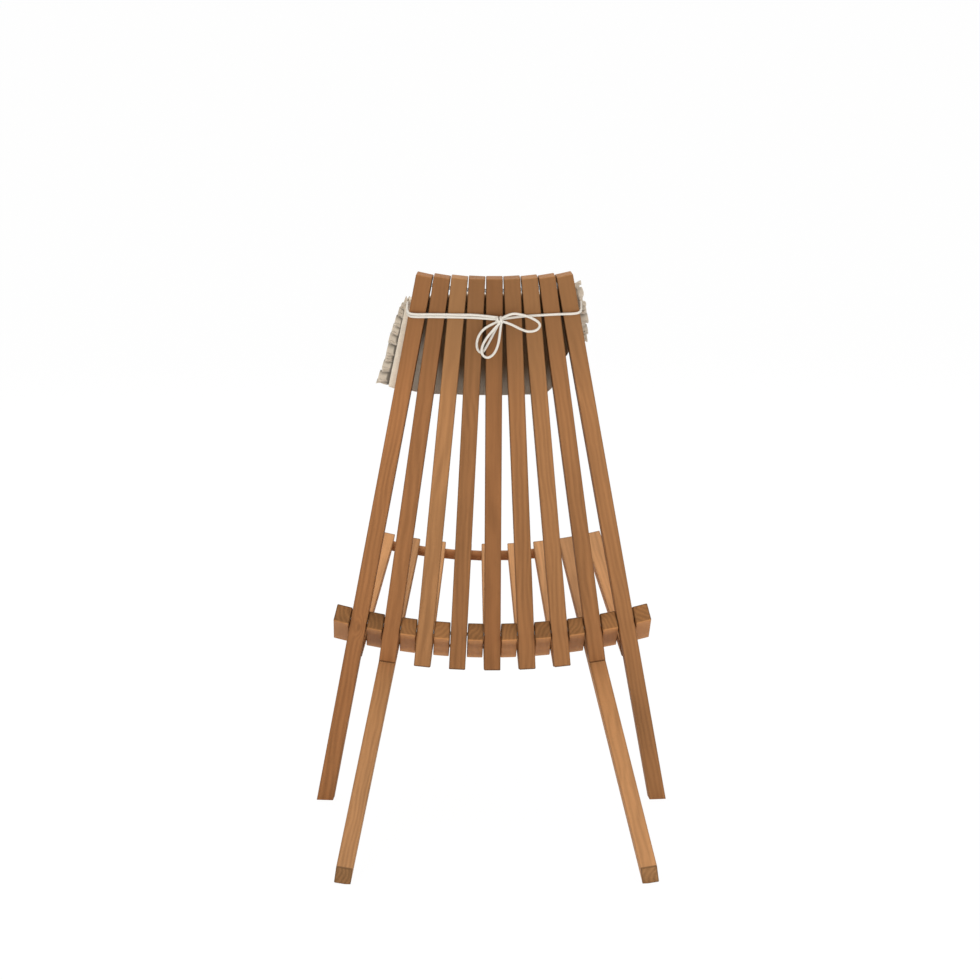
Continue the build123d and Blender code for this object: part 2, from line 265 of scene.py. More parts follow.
def link_angle(number):
    """Fan angle of a link, half a lane beside the sticks."""
    return (number - (LINKS + 1) / 2) * LANE_STEP


class WoodSettings(bpy.types.PropertyGroup):
    """Colours and grain of the sticks."""

    back_colour: bpy.props.FloatVectorProperty(
        name="Back", description="Colour of the back sticks", subtype="COLOR",
        default=(0.296, 0.129, 0.047), min=0, max=1)
    seat_colour: bpy.props.FloatVectorProperty(
        name="Seat", description="Colour of the seat sticks and rear legs", subtype="COLOR",
        default=(0.425, 0.216, 0.089), min=0, max=1)
    link_colour: bpy.props.FloatVectorProperty(
        name="Links", description="Colour of the short links", subtype="COLOR",
        default=(0.375, 0.172, 0.062), min=0, max=1)
    dowel_colour: bpy.props.FloatVectorProperty(
        name="Dowels", description="Colour of the seat's spacers", subtype="COLOR",
        default=(0.350, 0.160, 0.062), min=0, max=1)
    ring_pitch: bpy.props.FloatProperty(
        name="Ring pitch", description="Distance between growth rings", unit="LENGTH",
        default=0.0068, min=0.001, max=0.02)
    contrast: bpy.props.FloatProperty(
        name="Contrast", description="Strength of the streaks", subtype="FACTOR",
        default=0.62, min=0, max=1)
    roughness: bpy.props.FloatProperty(
        name="Roughness", description="Roughness of the oiled surface", subtype="FACTOR",
        default=0.58, min=0, max=1)


class PillowSettings(bpy.types.PropertyGroup):
    """Cloth of the pillow and its ruffles."""

    linen_colour: bpy.props.FloatVectorProperty(
        name="Linen", description="Colour of the cloth", subtype="COLOR",
        default=(0.735, 0.640, 0.515), min=0, max=1)
    thread_pitch: bpy.props.FloatProperty(
        name="Thread pitch", description="Distance between threads", unit="LENGTH",
        default=0.0011, min=0.0003, max=0.005)
    ruffle_depth: bpy.props.FloatProperty(
        name="Ruffle depth", description="How far the ruffles stand out", unit="LENGTH",
        default=0.021, min=0.005, max=0.06)
    ruffle_waves: bpy.props.IntProperty(
        name="Ruffle waves", description="Number of gathers along the pillow's height",
        default=11, min=2, max=20)
    ruffle_swing: bpy.props.FloatProperty(
        name="Ruffle swing", description="How far the gathers swing", unit="LENGTH",
        default=0.0068, min=0, max=0.03)


class CordSettings(bpy.types.PropertyGroup):
    """The tie cord."""

    diameter: bpy.props.FloatProperty(
        name="Diameter", description="Thickness of the cord", unit="LENGTH",
        default=0.004, min=0.001, max=0.01)
    colour: bpy.props.FloatVectorProperty(
        name="Cord", description="Colour of the cotton", subtype="COLOR",
        default=(0.705, 0.665, 0.595), min=0, max=1)
    strand_pitch: bpy.props.FloatProperty(
        name="Strand pitch", description="Distance between the cord's strands", unit="LENGTH",
        default=0.0016, min=0.0004, max=0.01)


class StageSettings(bpy.types.PropertyGroup):
    """Camera, floor and light."""

    azimuth: bpy.props.FloatProperty(
        name="Azimuth", description="Turn of the camera from straight behind", subtype="ANGLE",
        default=math.radians(0.72))
    elevation: bpy.props.FloatProperty(
        name="Elevation", description="Height angle of the camera", subtype="ANGLE",
        default=math.radians(10.36))
    distance: bpy.props.FloatProperty(
        name="Distance", description="Distance of the camera", unit="LENGTH", default=20.0, min=1)
    view_width: bpy.props.FloatProperty(
        name="View width", description="Width of the view at the chair", unit="LENGTH",
        default=1.5608, min=0.1)
    floor_colour: bpy.props.FloatVectorProperty(
        name="Floor", description="Colour of the floor", subtype="COLOR",
        default=(0.9, 0.9, 0.9), min=0, max=1)


class Flow:
    """A value, colour or vector in a material; arithmetic on values adds Math nodes."""

    def __init__(self, finish, socket):
        self.finish = finish
        self.socket = socket

    def __add__(self, other):
        return self.finish.math("ADD", self, other)

    def __sub__(self, other):
        return self.finish.math("SUBTRACT", self, other)

    def __rsub__(self, other):
        return self.finish.math("SUBTRACT", other, self)

    def __mul__(self, other):
        return self.finish.math("MULTIPLY", self, other)

    def __pow__(self, other):
        return self.finish.math("POWER", self, other)

    def __abs__(self):
        return self.finish.math("ABSOLUTE", self)

    __radd__ = __add__
    __rmul__ = __mul__


class Finish:
    """The nodes of a material or a world in the making."""

    def __init__(self, owner):
        self.owner = owner
        self.owner.use_nodes = True
        self.tree = owner.node_tree
        self.shader = self.tree.nodes.get("Principled BSDF")

    def feed(self, socket, value):
        """Link a flow to a socket, or set the socket's own value."""
        if isinstance(value, Flow):
            self.tree.links.new(value.socket, socket)
        else:
            socket.default_value = value

    def node(self, kind, settings, inputs, output=0):
        """Add a node with its settings and the values or links of its sockets."""
        node = self.tree.nodes.new(kind)
        for key, value in settings.items():
            setattr(node, key, value)
        for key, value in inputs.items():
            self.feed(node.inputs[key], value)
        return Flow(self, node.outputs[output])

    def math(self, operation, first, second=0.0):
        return self.node("ShaderNodeMath", {"operation": operation}, {0: first, 1: second})

    def stretch(self, vector, scale):
        return self.node("ShaderNodeVectorMath", {"operation": "MULTIPLY"}, {0: vector, 1: scale})

    def along(self, vector, direction):
        """How far a vector goes in a direction."""
        settings = {"operation": "DOT_PRODUCT"}
        return self.node("ShaderNodeVectorMath", settings, {0: vector, 1: direction}, "Value")

    def blotch(self, vector, seed, detail=3.0, roughness=0.55):
        """Noise of one cell per unit, from 0 to 1."""
        inputs = {"Vector": vector, "W": seed, "Scale": 1.0, "Detail": detail, "Roughness": roughness}
        return self.node("ShaderNodeTexNoise", {"noise_dimensions": "4D"}, inputs, "Fac")

    def fade(self, value, low, high):
        """0 at low, 1 at high and smooth between."""
        inputs = {0: value, 1: low, 2: high, 3: 0.0, 4: 1.0}
        return self.node("ShaderNodeMapRange", {"interpolation_type": "SMOOTHSTEP"}, inputs)

    def mix(self, factor, first, second):
        """Blend two colours."""
        settings = {"data_type": "RGBA", "blend_type": "MIX", "clamp_factor": True}
        return self.node("ShaderNodeMix", settings, {0: factor, 6: first, 7: second}, 2)

    def place(self):
        return self.node("ShaderNodeTexCoord", {}, {}, "Object")

    def turned_place(self, rows, origin):
        """Object coordinates from an origin, along the three rows of a rotation."""
        turn = Matrix(rows)
        inputs = {
            "Vector": self.place(),
            "Rotation": turn.to_euler(),
            "Location": -(turn @ origin),
        }
        return self.node("ShaderNodeMapping", {"vector_type": "POINT"}, inputs)

    def bump(self, height, strength, depth):
        inputs = {"Strength": strength, "Distance": depth, "Height": height}
        return self.node("ShaderNodeBump", {}, inputs, "Normal")

    def attribute(self, name):
        """A value that the piece's mesh holds."""
        return self.node("ShaderNodeAttribute", {"attribute_name": name}, {}, "Fac")

    def facing(self, direction):
        """How far the surface faces a direction, from -1 to 1."""
        return self.along(self.node("ShaderNodeTexCoord", {}, {}, "Normal"), tuple(direction))

    def shown(self):
        """1 for the rays that show the background, 0 for those that light the chair."""
        shown = 0.0
        for ray in ("Is Camera Ray", "Is Glossy Ray", "Is Transmission Ray"):
            shown = self.math("MAXIMUM", self.node("ShaderNodeLightPath", {}, {}, ray), shown)
        return shown

    def done(self, **sockets):
        """Set the shader's sockets, with spaces written as underscores, and give the material."""
        for key, value in sockets.items():
            self.feed(self.shader.inputs[key.replace("_", " ")], value)
        return self.owner


def shade(colour, share):
    """A colour times a share, as four numbers."""
    return tuple(min(1.0, channel * share) for channel in colour) + (1.0,)


def ends_of(node, origin, along):
    """Lowest and highest place of a CAD node along a direction from an origin."""
    places = [(vert.co - origin).dot(along) for vert in frame["nodes"][node].data.vertices]
    return min(places), max(places)


def oiled_wood(
        name, rows, origin, half_sizes, colour, seed,
        shaded_ends=(), end_shares=(0.42, 0.84), knots=(), lit_from_below=False):
    """Oiled hardwood whose grain runs along the first of the rows.

    Painted shade darkens its rounded edges, most at the given ends. The flag for light from below makes the
    side that the second row points to paler as painted light, with a painted highlight on its edges at those
    ends.
    """
    settings = bpy.context.scene.stick_chair_wood
    chance = random.Random(seed)
    finish = Finish(bpy.data.materials.new(name))
    place = finish.turned_place(rows, origin)
    length = finish.along(place, (1, 0, 0))
    depth = finish.along(place, (0, 1, 0))
    width = finish.along(place, (0, 0, 1))
    half_depth, half_width = half_sizes

    wander = finish.blotch(finish.stretch(place, (5, 24, 24)), seed, 2.0)
    heart_depth = chance.choice((-1, 1)) * chance.uniform(0.014, 0.05)
    heart_width = chance.choice((-1, 1)) * chance.uniform(0.018, 0.06)
    drift = chance.uniform(-0.045, 0.045)
    off_depth = depth - heart_depth + length * drift
    off_width = width - heart_width
    radius = (off_depth * off_depth + off_width * off_width) ** 0.5 + wander * 0.022
    knot_mask = None
    for knot_length, knot_width in knots:
        near = ((length - knot_length) * 0.42) ** 2.0 + (width - knot_width) ** 2.0
        ring = finish.fade(near ** 0.5, 0.012, 0.002)
        radius = radius + ring * 0.011
        spot = finish.fade(near ** 0.5, 0.0042, 0.0016)
        knot_mask = spot if knot_mask is None else finish.math("MAXIMUM", knot_mask, spot)
    rings = finish.math("SINE", radius * (2 * math.pi / settings.ring_pitch)) * 0.5 + 0.5
    fibre = finish.blotch(finish.stretch(place, (14, 520, 520)), seed + 3.1, 4.0, 0.65)
    streak = finish.blotch(finish.stretch(place, (3.2, 130, 130)), seed + 7.7, 3.0)
    cloud = finish.blotch(finish.stretch(place, (4.5, 18, 18)), seed + 5.3, 2.0)
    pores = finish.fade(finish.blotch(finish.stretch(place, (70, 1500, 1500)), seed + 9.2, 2.0), 0.62, 0.74)

    figure = rings * 0.13 + fibre * 0.26 + streak * 0.44 + cloud * 0.42
    strength = finish.fade(figure, 0.3, 0.92)
    low = 1 - 0.62 * settings.contrast
    high = 1 + 0.5 * settings.contrast
    tone = finish.mix(strength, shade(colour, low), shade(colour, high))
    reddish = shade((colour[0], colour[1] * 0.86, colour[2] * 0.8), 1.0)
    tone = finish.mix(cloud * 0.5, tone, reddish)
    tone = finish.mix(pores * 0.35, tone, shade(colour, 0.45))
    if knot_mask is not None:
        tone = finish.mix(knot_mask * 0.4, tone, shade(colour, 0.45))

    end = finish.fade(abs(finish.facing(rows[0])), 0.72, 0.94)
    end_figure = finish.fade(rings * 0.16 + fibre * 0.34 + cloud * 0.7, 0.3, 0.9)
    end_tone = finish.mix(end_figure, shade(colour, end_shares[0]), shade(colour, end_shares[1]))
    tone = finish.mix(end, tone, end_tone)
    near_depth = finish.fade(abs(depth), half_depth - 0.0024, half_depth - 0.0006)
    near_width = finish.fade(abs(width), half_width - 0.0024, half_width - 0.0006)
    # Painted shade along the rounded long edges
    tone = finish.mix(near_depth * near_width * 0.35, tone, shade(colour, 0.5))
    shaded_side = near_depth
    # Painted light from below: the lower face is paler, and its edges keep no painted shade
    if lit_from_below:
        under = finish.fade(finish.facing(rows[1]), 0.6, 0.9)
        tone = finish.mix(under * 0.6, tone, shade(colour, 1.45))
        underside = finish.fade(depth, 0.0, 0.004)
        shaded_side = near_depth * (1 - underside)
    # Painted shade on the edges at the given ends, a darker rim
    for shaded_end in shaded_ends:
        near_end = finish.fade(abs(length - shaded_end), 0.004, 0.001)
        rim = near_end * finish.math("MAXIMUM", shaded_side, near_width)
        tone = finish.mix(rim * 0.8, tone, shade(colour, 0.28))
        # Painted highlight along the lower edge at each end
        if lit_from_below:
            tone = finish.mix(near_end * near_depth * underside * 0.45, tone, shade(colour, 1.5))
    # Painted shade: the upper part of the back sticks is darker, its end faces left out
    tone = finish.mix(finish.fade(length, 0.46, 0.68) * (1 - end) * 0.75, tone, shade(colour, 0.72))

    gloss = settings.roughness + 0.16 * (1 - fibre) + 0.14 * end
    grain = finish.bump(fibre * 0.6 + rings * 0.2 - pores * 0.5, 0.22, 0.0006)
    return finish.done(Base_Color=tone, Roughness=gloss, Specular_IOR_Level=0.1, Normal=grain)


def drawn_steel(name):
    """Plain steel with fine drawing marks."""
    finish = Finish(bpy.data.materials.new(name))
    marks = finish.blotch(finish.stretch(finish.place(), (60, 1500, 1500)), 2.0, 3.0)
    tone = finish.mix(marks, (0.36, 0.35, 0.34, 1), (0.58, 0.57, 0.55, 1))
    return finish.done(
        Base_Color=tone, Metallic=1.0, Roughness=0.28 + marks * 0.2, Normal=finish.bump(marks, 0.1, 0.0002))


def linen_cloth(name, folded=False):
    """Plain-woven linen with uneven threads.

    Painted shade darkens a folded piece all over, and more in its hollows and along its seam;
    it darkens a flat one where the sticks shade it.
    """
    settings = bpy.context.scene.stick_chair_pillow
    finish = Finish(bpy.data.materials.new(name))
    place = finish.turned_place((SIDE, UP, FORWARD), CROSSING)
    across = finish.along(place, (1, 0, 0.35))
    upward = finish.along(place, (0, 1, 0.35))
    pitch = 2 * math.pi / settings.thread_pitch
    sway = finish.blotch(finish.stretch(place, (60, 60, 60)), 1.0, 2.0) * 0.0016
    warp = finish.math("SINE", (across + sway) * pitch)
    weft = finish.math("SINE", (upward + sway) * pitch)
    weave = warp * weft * 0.5 + 0.5
    slub_across = finish.blotch(finish.stretch(place, (40, 800, 500)), 4.0, 3.0)
    slub_up = finish.blotch(finish.stretch(place, (800, 40, 500)), 6.0, 3.0)
    cloud = finish.blotch(finish.stretch(place, (18, 18, 18)), 8.0, 3.0)
    strength = finish.fade(slub_across * 0.45 + slub_up * 0.45 + weave * 0.3 + cloud * 0.3, 0.35, 1.05)
    tone = finish.mix(strength, shade(settings.linen_colour, 0.74), shade(settings.linen_colour, 1.16))
    if folded:
        # Painted shade: the folded piece is darker all over
        tone = finish.mix(0.5, tone, shade(settings.linen_colour, 0.62))
        # Painted shade in the hollows of the folds and along the seam, from the piece's own attribute
        fold_shade = finish.attribute("fold_shade")
        rear = finish.fade(finish.facing(FORWARD), 0.06, -0.06)
        hollow_shade = fold_shade * rear + (1 - fold_shade) * (1 - rear)
        tone = finish.mix(finish.fade(hollow_shade, 0.45, 1.0) * 0.95, tone, shade(settings.linen_colour, 0.15))
    else:
        tone = finish.mix(finish.attribute("shaded"), tone, shade(SHADED_LINEN, 1.0))
    height = weave * 0.5 + slub_across * 0.4 + slub_up * 0.4
    return finish.done(
        Base_Color=tone, Roughness=0.88 + cloud * 0.1, Sheen_Weight=0.2, Sheen_Roughness=0.5,
        Specular_IOR_Level=0.2, Normal=finish.bump(height, 0.45, 0.0006))


def cotton_cord(name):
    """Soft white cord with a twist of strands."""
    settings = bpy.context.scene.stick_chair_cord
    finish = Finish(bpy.data.materials.new(name))
    place = finish.place()
    slant = finish.along(place, (1, 0.5, 0.8))
    sway = finish.blotch(finish.stretch(place, (300, 300, 300)), 3.0, 2.0)
    strands = finish.math("SINE", slant * (2 * math.pi / settings.strand_pitch) + sway * 2.0) * 0.5 + 0.5
    fuzz = finish.blotch(finish.stretch(place, (1800, 1800, 1800)), 5.0, 3.0)
    tone = finish.mix(strands * 0.7 + fuzz * 0.3, shade(settings.colour, 0.84), shade(settings.colour, 1.06))
    return finish.done(
        Base_Color=tone, Roughness=0.82 + fuzz * 0.15, Specular_IOR_Level=0.25,
        Normal=finish.bump(strands * 0.8 + fuzz * 0.3, 0.5, 0.0005))


def cover(piece, material):
    """Give a piece one material."""
    piece.data.materials.clear()
    piece.data.materials.append(material)


def dress(node, material):
    """Give a CAD node's slots one material."""
    piece = frame["nodes"][node]
    for slot in piece.material_slots:
        slot.material = material


def make_piece(name, shape):
    """A new object from a bmesh, which is freed."""
    data = bpy.data.meshes.new(name)
    shape.to_mesh(data)
    shape.free()
    piece = bpy.data.objects.new(name, data)
    bpy.context.scene.collection.objects.link(piece)
    return piece


def smooth(piece):
    """Shade a piece's faces smooth."""
    piece.data.polygons.foreach_set("use_smooth", [True] * len(piece.data.polygons))
    piece.data.update()


def settle(piece):
    """Make a piece's modifiers part of its mesh."""
    ready = piece.evaluated_get(bpy.context.evaluated_depsgraph_get())
    mesh = bpy.data.meshes.new_from_object(ready)
    piece.modifiers.clear()
    piece.data = mesh


class STICKCHAIR_OT_stage(bpy.types.Operator):
    """Set up the camera, the floor and the studio light"""

    bl_idname = "stick_chair.stage"
    bl_label = "Stage"

    def execute(self, context):
        self.make_camera(context)
        self.make_floor(context)
        self.make_world(context)
        for lamp in LAMPS:
            self.make_lamp(context, *lamp)
        context.scene.view_settings.view_transform = "Standard"
        return {"FINISHED"}

    def make_camera(self, context):
        settings = context.scene.stick_chair_stage
        level = math.cos(settings.elevation)
        ahead = Vector((
            -math.sin(settings.azimuth) * level,
            -math.cos(settings.azimuth) * level,
            -math.sin(settings.elevation),
        ))
        right = Vector((-math.cos(settings.azimuth), math.sin(settings.azimuth), 0))
        top = right.cross(ahead)
        aim = CROSSING + Vector((0, 0, AIM_RISE)) - right * AIM_LEFT + top * AIM_TOP
        data = bpy.data.cameras.new("camera")
        data.sensor_width = 36.0
        data.lens = data.sensor_width * settings.distance / settings.view_width
        data.clip_end = 200.0
        camera = bpy.data.objects.new("camera", data)
        turn = Matrix((right, top, -ahead)).transposed().to_4x4()
        camera.matrix_world = Matrix.Translation(aim - ahead * settings.distance) @ turn
        context.scene.collection.objects.link(camera)
        context.scene.camera = camera

    def make_floor(self, context):
        shape = bmesh.new()
        bmesh.ops.create_grid(shape, x_segments=1, y_segments=1, size=FLOOR_HALF_SIZE)
        floor = make_piece("floor", shape)
        finish = Finish(bpy.data.materials.new("studio_floor"))
        colour = context.scene.stick_chair_stage.floor_colour
        finish.done(Base_Color=shade(colour, 1.0), Roughness=0.9, Specular_IOR_Level=0.1)
        glow = finish.node("ShaderNodeEmission", {}, {"Color": (1, 1, 1, 1), "Strength": FLOOR_GLOW})
        lit = Flow(finish, finish.shader.outputs[0])
        surface = finish.node("ShaderNodeMixShader", {}, {0: finish.shown() * FLOOR_SHOWN, 1: lit, 2: glow})
        finish.feed(finish.tree.nodes["Material Output"].inputs["Surface"], surface)
        cover(floor, finish.owner)

    def make_world(self, context):
        finish = Finish(bpy.data.worlds.new("studio"))
        finish.tree.nodes.clear()
        light = finish.node("ShaderNodeBackground", {}, {"Color": SKY_COLOUR, "Strength": SKY_LIGHT})
        white = finish.node("ShaderNodeBackground", {}, {"Color": (1, 1, 1, 1), "Strength": 1.0})
        sky = finish.node("ShaderNodeMixShader", {}, {0: finish.shown(), 1: light, 2: white})
        output = finish.tree.nodes.new("ShaderNodeOutputWorld")
        finish.feed(output.inputs["Surface"], sky)
        context.scene.world = finish.owner

    def make_lamp(self, context, name, place, size, power):
        data = bpy.data.lights.new(name, "AREA")
        data.shape = "SQUARE"
        data.size = size
        data.energy = power
        lamp = bpy.data.objects.new(name, data)
        aim = LAMP_AIM - Vector(place)
        lamp.rotation_euler = aim.to_track_quat("-Z", "Y").to_euler()
        lamp.location = place
        context.scene.collection.objects.link(lamp)


class STICKCHAIR_OT_cords(bpy.types.Operator):
    """Lay the tie cord with its bow and knot"""

    bl_idname = "stick_chair.cords"
    bl_label = "Tie cord"

    def execute(self, context):
        settings = context.scene.stick_chair_cord
        material = cotton_cord("white_cotton_cord")
        knot = self.make_knot(settings, material)
        for node, route, length in CORDS:
            points = [route_point(place) for place in route]
            piece = self.make_line(node + "_cord", points, settings.diameter)
            cover(piece, material)
            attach(piece, "back")
            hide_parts(node)
            first = node == "tie_left_lower"
        return {"FINISHED"}

    def make_line(self, name, points, diameter):
        """A round cord along the points of its route."""
        data = bpy.data.curves.new(name, "CURVE")
        data.dimensions = "3D"
        data.bevel_depth = diameter / 2
        data.bevel_resolution = 4
        data.resolution_u = 10
        data.use_fill_caps = True
        spline = data.splines.new("NURBS")
        spline.points.add(len(points) - 1)
        for spot, point in zip(spline.points, points):
            spot.co = (*point, 1.0)
        spline.order_u = 3
        spline.use_endpoint_u = True
        piece = bpy.data.objects.new(name, data)
        bpy.context.scene.collection.objects.link(piece)
        return piece

    def make_knot(self, settings, material):
        """Wraps of cord round the crossing, one over another."""
        centre = route_point(KNOT_PLACE)
        radius = settings.diameter / 2
        shape = bmesh.new()
        for tilt, shift, size in KNOT_WRAPS:
            made = bmesh.ops.create_circle(shape, segments=12, radius=radius)
            to_rim = Matrix.Translation((size / 1000, 0, 0)) @ Matrix.Rotation(math.pi / 2, 4, "X")
            bmesh.ops.transform(shape, matrix=to_rim, verts=made["verts"])
            edges = list({edge for vert in made["verts"] for edge in vert.link_edges})
            before = set(shape.verts)
            bmesh.ops.spin(
                shape, geom=made["verts"] + edges, cent=(0, 0, 0), axis=(0, 0, 1),
                angle=2 * math.pi, steps=28, use_merge=True)
            verts = [vert for vert in shape.verts if vert not in before] + made["verts"]
            verts = [vert for vert in verts if vert.is_valid]
            squash = Matrix.Diagonal((0.85, 1.0, 1.0, 1.0))
            lean = Matrix.Rotation(math.radians(tilt), 4, "Y") @ Matrix.Rotation(math.radians(90), 4, "Y")
            move = Matrix.Translation((shift / 1000, 0, 0))
            bmesh.ops.transform(shape, matrix=move @ lean @ squash, verts=verts)
        bmesh.ops.remove_doubles(shape, verts=shape.verts, dist=1e-6)
        bmesh.ops.recalc_face_normals(shape, faces=shape.faces)
        stand = Matrix((-SIDE, -FORWARD, UP)).transposed().to_4x4()
        bmesh.ops.transform(shape, matrix=Matrix.Translation(centre) @ stand, verts=shape.verts)
        knot = make_piece("bow_knot_wraps", shape)
        smooth(knot)
        cover(knot, material)
        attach(knot, "back")
        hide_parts("bow_knot")
        return knot


class STICKCHAIR_OT_sticks(bpy.types.Operator):
    """Finish the back sticks, the seat sticks and the links in oiled wood"""

    bl_idname = "stick_chair.sticks"
    bl_label = "Sticks"

    def execute(self, context):
        settings = context.scene.stick_chair_wood
        half = (STICK_DEPTH / 2, STICK_WIDTH / 2)
        for number in range(1, STICKS + 1):
            turn = lane_turn(stick_angle(number)).to_3x3()
            origin = lane_place(stick_angle(number), 0, 0)
            up, forward, side = turn @ UP, turn @ FORWARD, turn @ SIDE
            yellow = BACK_YELLOW[number - 1]
            colour = [
                channel * BACK_TONES[number - 1] * (1 + gain * yellow)
                for channel, gain in zip(settings.back_colour, YELLOW_GAIN)
            ]
            node = "back_stick_%d" % number
            # The back sticks' end grain is paler than the other sticks': the end grain's own tone, raised as
            # painted light on their top faces
            dress(node, oiled_wood(
                "back_stick_wood_%d" % number, (up, side.cross(up), side), origin, half, colour,
                number * 11, ends_of(node, origin, up)[:1], (0.85, 1.25), BACK_KNOTS.get(number, ())))
            colour = shade(settings.seat_colour, SEAT_TONES[number - 1])[:3]
            node = "seat_stick_%d" % number
            dress(node, oiled_wood(
                "seat_stick_wood_%d" % number, (forward, side.cross(forward), side), origin, half, colour,
                number * 13 + 200, ends_of(node, origin, forward)))
        slope = math.atan2(LINK_PIVOT_UP, -SEAT_PIN_FORWARD)
        for number in range(1, LINKS + 1):
            turn = lane_turn(link_angle(number)).to_3x3()
            along = turn @ (FORWARD * math.cos(slope) + UP * math.sin(slope))
            side = turn @ SIDE
            middle = lane_place(link_angle(number), LINK_PIVOT_UP / 2, SEAT_PIN_FORWARD / 2)
            colour = shade(settings.link_colour, LINK_TONES[number - 1])[:3]
            node = "link_%d" % number
            dress(node, oiled_wood(
                "link_wood_%d" % number, (along, side.cross(along), side), middle,
                (LINK_DEPTH / 2, LINK_WIDTH / 2), colour, number * 17 + 400, ends_of(node, middle, along),
                lit_from_below=True))
        return {"FINISHED"}


class STICKCHAIR_OT_fittings(bpy.types.Operator):
    """Finish the spacers, the pins and the cables"""

    bl_idname = "stick_chair.fittings"
    bl_label = "Spacers, pins and cables"

    def execute(self, context):
        colour = tuple(context.scene.stick_chair_wood.dowel_colour)
        for number in range(1, STICKS):
            turn = lane_turn(stick_angle(number)).to_3x3()
            low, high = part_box("front_spacer_%d" % number)
            middle = (Vector(low) + Vector(high)) / 2
            side, up = turn @ SIDE, turn @ UP
            dress("front_spacer_%d" % number, oiled_wood(
                "dowel_wood_%d" % number, (side, up, side.cross(up)), middle, (1.0, 1.0), colour,
                number * 19 + 700))
        steel = drawn_steel("drawn_steel")
        for number in range(1, STICKS + 1):
            dress("seat_pin_%d" % number, steel)
        dress("pivot_cable", steel)
        dress("back_top_cable", steel)
        return {"FINISHED"}


